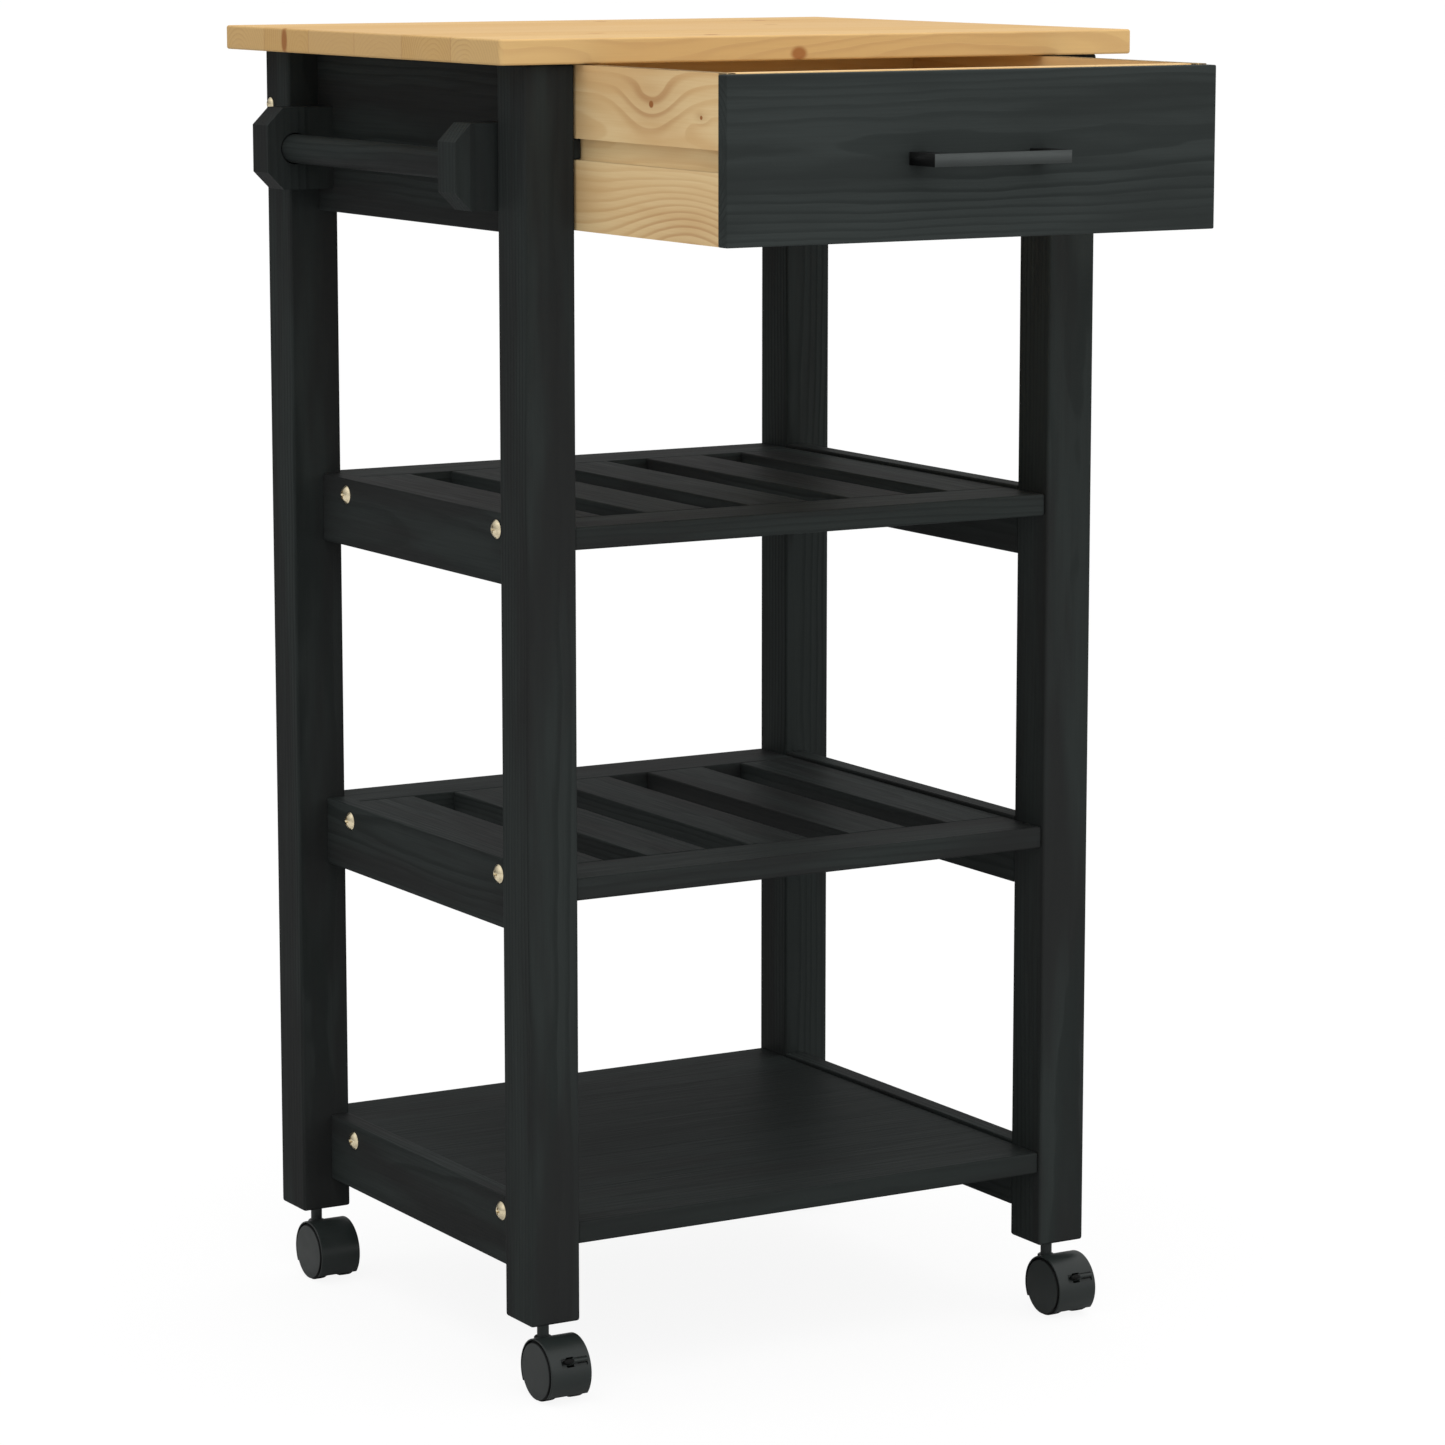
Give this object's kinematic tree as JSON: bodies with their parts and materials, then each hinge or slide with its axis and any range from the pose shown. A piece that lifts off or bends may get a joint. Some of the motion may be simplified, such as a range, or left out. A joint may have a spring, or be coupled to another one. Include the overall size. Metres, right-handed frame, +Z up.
{
  "type": "kitchen island cart",
  "caption": "Tall pine kitchen cart with a pale worktop, a black-stained frame, slatted shelves, an open drawer, a towel bar and twin-wheel castors.",
  "frame": {"origin": "on the floor, below the middle of the box round the whole cart with the drawer drawn out as at rest", "axes": "+Z up from the floor to the worktop; -Y out of the front, the way the drawer opens; +X to the right of a person facing the drawer, the towel bar being on the -X side"},
  "size_m": [0.493, 0.622, 0.9],
  "materials": {
    "black_stained_pine": "black water-based stain, grain showing, satin",
    "oiled_pine": "oiled, satin",
    "bare_pine": "planed, unfinished",
    "drawer_sheet": "thin plywood, unfinished",
    "plated_screws": "pale yellow zinc plate, bright",
    "steel": "plain zinc plate",
    "black_metal": "black powder coat, satin",
    "black_nylon": "moulded, slightly glossy"
  },
  "bodies": {
    "frame": {"worktop": "oiled_pine", "leg_front_left": "black_stained_pine", "leg_front_right": "black_stained_pine", "leg_back_left": "black_stained_pine", "leg_back_right": "black_stained_pine", "side_apron_left": "black_stained_pine", "side_apron_right": "black_stained_pine", "back_apron": "black_stained_pine", "upper_rail_left": "black_stained_pine", "upper_rail_right": "black_stained_pine", "middle_rail_left": "black_stained_pine", "middle_rail_right": "black_stained_pine", "lower_rail_left": "black_stained_pine", "lower_rail_right": "black_stained_pine", "upper_shelf_front": "black_stained_pine", "upper_shelf_back": "black_stained_pine", "upper_shelf_slats": "black_stained_pine", "middle_shelf_front": "black_stained_pine", "middle_shelf_back": "black_stained_pine", "middle_shelf_slats": "black_stained_pine", "bottom_shelf": "black_stained_pine", "towel_bracket_front": "black_stained_pine", "towel_bracket_back": "black_stained_pine", "towel_bar": "black_stained_pine", "drawer_runner_left": "black_stained_pine", "drawer_runner_right": "black_stained_pine", "shelf_screws": "plated_screws", "back_apron_screws": "plated_screws", "wood_screws": "steel", "frame_dowels": "bare_pine", "castor_sockets": "steel", "castor_stems": "black_metal"},
    "drawer": {"drawer_front": "black_stained_pine", "drawer_inner_front": "bare_pine", "drawer_side_left": "bare_pine", "drawer_side_right": "bare_pine", "drawer_back": "bare_pine", "drawer_bottom": "drawer_sheet", "drawer_handle": "black_metal", "handle_screws": "steel", "drawer_front_screws": "steel"},
    "castor_front_left": {"hood_front_left": "black_nylon", "axle_front_left": "steel"},
    "wheel_front_left_a": {"wheel_front_left_a": "black_nylon"},
    "wheel_front_left_b": {"wheel_front_left_b": "black_nylon"},
    "castor_front_right": {"hood_front_right": "black_nylon", "axle_front_right": "steel"},
    "wheel_front_right_a": {"wheel_front_right_a": "black_nylon"},
    "wheel_front_right_b": {"wheel_front_right_b": "black_nylon"},
    "castor_back_left": {"hood_back_left": "black_nylon", "axle_back_left": "steel"},
    "wheel_back_left_a": {"wheel_back_left_a": "black_nylon"},
    "wheel_back_left_b": {"wheel_back_left_b": "black_nylon"},
    "castor_back_right": {"hood_back_right": "black_nylon", "axle_back_right": "steel"},
    "wheel_back_right_a": {"wheel_back_right_a": "black_nylon"},
    "wheel_back_right_b": {"wheel_back_right_b": "black_nylon"},
    "brake_left": {"brake_lever_left": "black_nylon"},
    "brake_right": {"brake_lever_right": "black_nylon"}
  },
  "joints": [
    {"name": "drawer_slide", "type": "slide", "parent": "frame", "child": "drawer", "axis": [0, -1, 0], "range_m": [-0.1825, 0.05]},
    {"name": "swivel_front_left", "type": "hinge", "parent": "frame", "child": "castor_front_left", "pos_m": [-0.2, -0.0725, 0.045], "axis": [0, 0, 1], "continuous": true},
    {"name": "roll_front_left_a", "type": "hinge", "parent": "castor_front_left", "child": "wheel_front_left_a", "pos_m": [-0.2109, -0.0907, 0.0203], "axis": [1, 0, 0], "continuous": true},
    {"name": "roll_front_left_b", "type": "hinge", "parent": "castor_front_left", "child": "wheel_front_left_b", "pos_m": [-0.1891, -0.0907, 0.0203], "axis": [1, 0, 0], "continuous": true},
    {"name": "swivel_front_right", "type": "hinge", "parent": "frame", "child": "castor_front_right", "pos_m": [0.206, -0.0725, 0.045], "axis": [0, 0, 1], "continuous": true},
    {"name": "roll_front_right_a", "type": "hinge", "parent": "castor_front_right", "child": "wheel_front_right_a", "pos_m": [0.1951, -0.0907, 0.0203], "axis": [1, 0, 0], "continuous": true},
    {"name": "roll_front_right_b", "type": "hinge", "parent": "castor_front_right", "child": "wheel_front_right_b", "pos_m": [0.2169, -0.0907, 0.0203], "axis": [1, 0, 0], "continuous": true},
    {"name": "swivel_back_left", "type": "hinge", "parent": "frame", "child": "castor_back_left", "pos_m": [-0.2, 0.274, 0.045], "axis": [0, 0, 1], "continuous": true},
    {"name": "roll_back_left_a", "type": "hinge", "parent": "castor_back_left", "child": "wheel_back_left_a", "pos_m": [-0.2109, 0.2558, 0.0203], "axis": [1, 0, 0], "continuous": true},
    {"name": "roll_back_left_b", "type": "hinge", "parent": "castor_back_left", "child": "wheel_back_left_b", "pos_m": [-0.1891, 0.2558, 0.0203], "axis": [1, 0, 0], "continuous": true},
    {"name": "swivel_back_right", "type": "hinge", "parent": "frame", "child": "castor_back_right", "pos_m": [0.206, 0.274, 0.045], "axis": [0, 0, 1], "continuous": true},
    {"name": "roll_back_right_a", "type": "hinge", "parent": "castor_back_right", "child": "wheel_back_right_a", "pos_m": [0.1951, 0.2558, 0.0203], "axis": [1, 0, 0], "continuous": true},
    {"name": "roll_back_right_b", "type": "hinge", "parent": "castor_back_right", "child": "wheel_back_right_b", "pos_m": [0.2169, 0.2558, 0.0203], "axis": [1, 0, 0], "continuous": true},
    {"name": "brake_press_left", "type": "hinge", "parent": "castor_front_left", "child": "brake_left", "pos_m": [-0.2, -0.10463, 0.0271], "axis": [1, 0, 0], "range_deg": [0, 12]},
    {"name": "brake_press_right", "type": "hinge", "parent": "castor_front_right", "child": "brake_right", "pos_m": [0.206, -0.10463, 0.0271], "axis": [1, 0, 0], "range_deg": [0, 12]}
  ]
}
